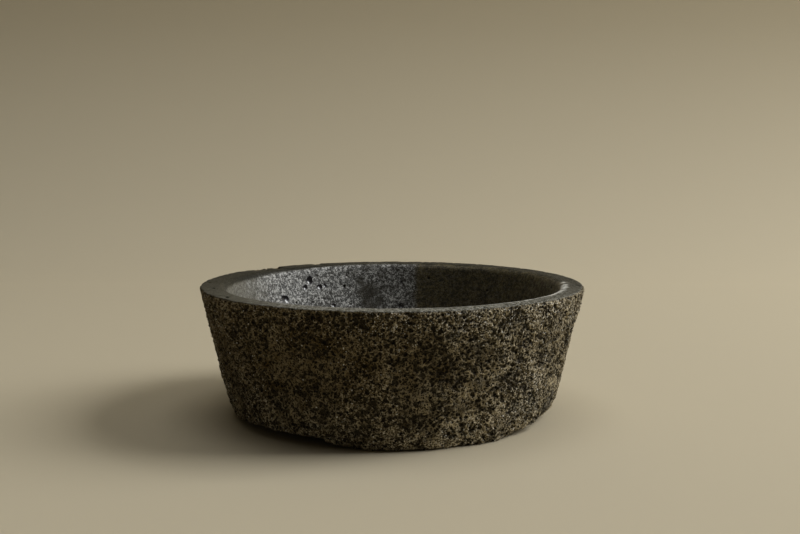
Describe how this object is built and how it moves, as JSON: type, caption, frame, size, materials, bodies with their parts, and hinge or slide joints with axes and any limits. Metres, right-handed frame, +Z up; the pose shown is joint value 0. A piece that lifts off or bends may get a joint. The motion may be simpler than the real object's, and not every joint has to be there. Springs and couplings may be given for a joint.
{
  "type": "molcajete mortar bowl",
  "caption": "Wide shallow molcajete bowl carved from one block of porous basalt, with a tapered rough-dressed outside, a flat ground rim and a smooth basin.",
  "frame": {"origin": "on the ground, under the middle of the rim", "axes": "+Z up along the bowl's axis; -Y is the front, the side first seen; +X is to the right of someone facing the front"},
  "size_m": [0.2193, 0.2194, 0.074],
  "materials": {
    "basalt": "rough dressed outside, ground smooth on the rim and inside"
  },
  "bodies": {
    "root": {"bowl": "basalt"}
  },
  "joints": []
}
